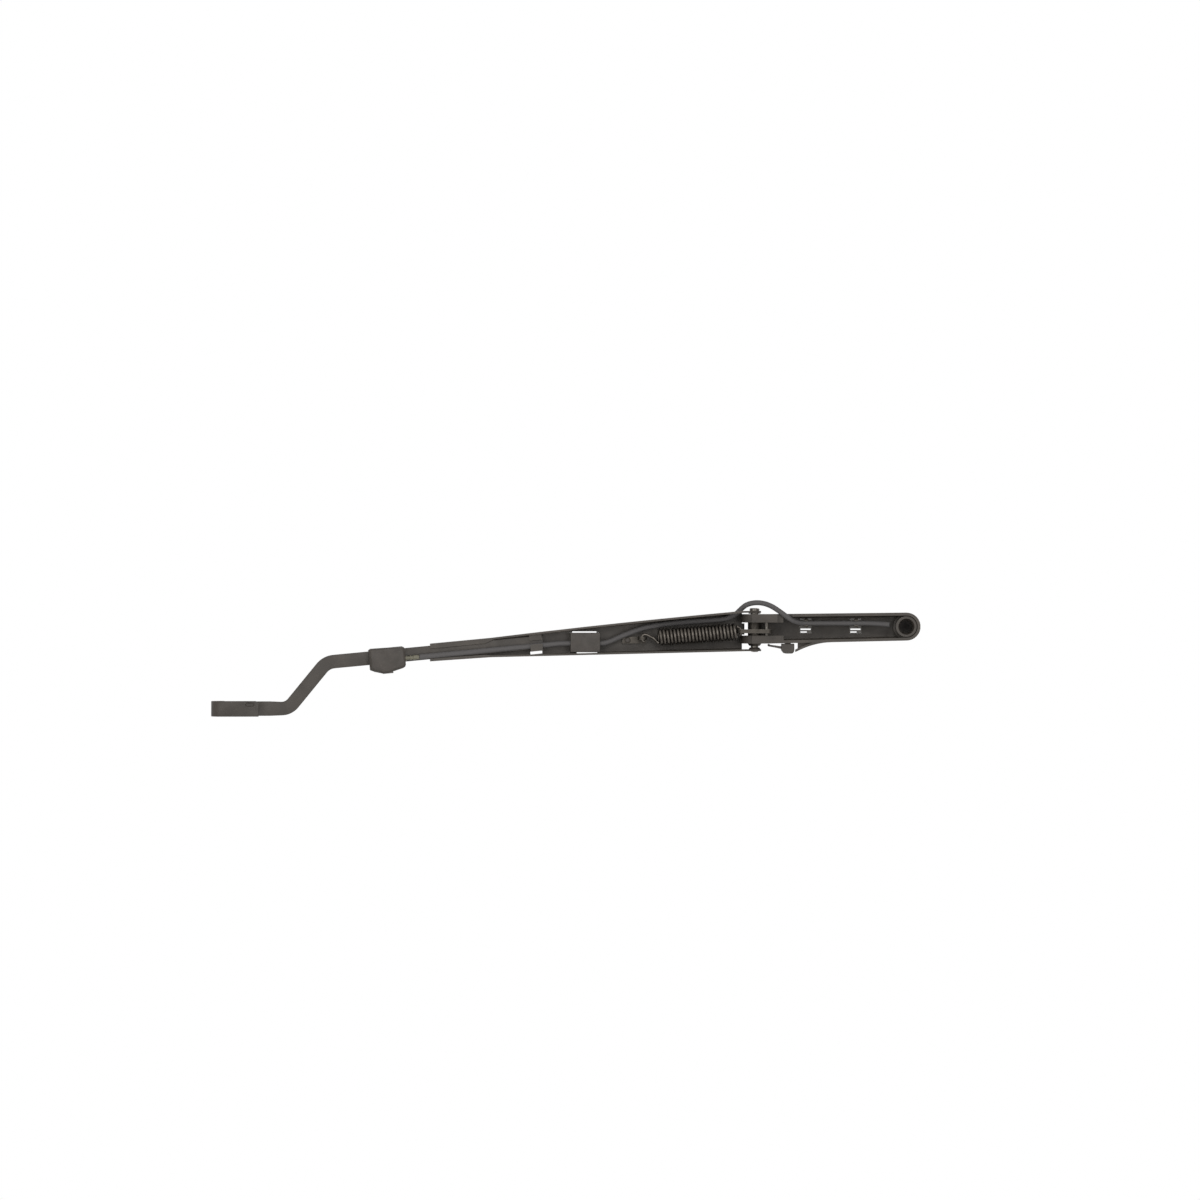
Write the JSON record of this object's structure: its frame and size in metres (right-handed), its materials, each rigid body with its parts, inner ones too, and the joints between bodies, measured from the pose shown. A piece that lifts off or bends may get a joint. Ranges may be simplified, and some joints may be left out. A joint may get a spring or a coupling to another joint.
{
  "type": "windscreen wiper arm",
  "caption": "Black windscreen wiper arm with a hollow head, folding spring hinge, tapering channel, washer jet with its hose, and a hooked flat strip for the blade.",
  "frame": {"origin": "on the spindle axis, at the lower edge of the straight part of the spindle hole", "axes": "+Z along the spindle away from the glass, +X from the spindle to the tip, +Y across the arm on the hose loop's side"},
  "size_m": [0.4709, 0.0771, 0.0441],
  "materials": {
    "black_paint": "semi-gloss black paint",
    "link_steel": "phosphated steel",
    "spring_steel": "oiled spring wire",
    "pin_steel": "plated steel",
    "bush_metal": "sintered bush",
    "black_plastic": "matte moulded plastic",
    "olive_plastic": "matte moulded plastic",
    "hose_rubber": "smooth rubber"
  },
  "bodies": {
    "head": {"mounting_head": "black_paint", "nut_cap": "black_plastic", "hinge_bush": "bush_metal", "link_pin": "pin_steel", "hose_clip_front": "black_plastic", "hose_clip_rear": "black_plastic", "stop_buffer": "black_plastic"},
    "link": {"spring_link": "link_steel", "tension_spring": "spring_steel"},
    "arm": {"arm_channel": "black_paint", "arm_strip": "black_paint", "hinge_pin": "pin_steel", "thrust_washer": "pin_steel", "spring_anchor": "link_steel", "anchor_rivet": "black_paint", "hose_holder": "black_plastic", "washer_hose": "hose_rubber", "jet_body": "black_plastic", "jet_clamp": "black_plastic", "jet_insert": "black_plastic", "hose_nipple": "olive_plastic"}
  },
  "joints": [
    {"name": "arm_fold", "type": "hinge", "parent": "head", "child": "arm", "pos_m": [0.1009, 0, 0.003], "axis": [0, -1, 0], "range_deg": [0, 60], "deforming": ["tension_spring", "washer_hose"]},
    {"name": "link_turn", "type": "hinge", "parent": "head", "child": "link", "pos_m": [0.093, -0.0031, -0.0015], "axis": [0, -1, 0], "range_deg": [0, 54]}
  ],
  "couplings": [
    {"joint": "link_turn", "follows": "arm_fold", "ratio": 0.895}
  ]
}
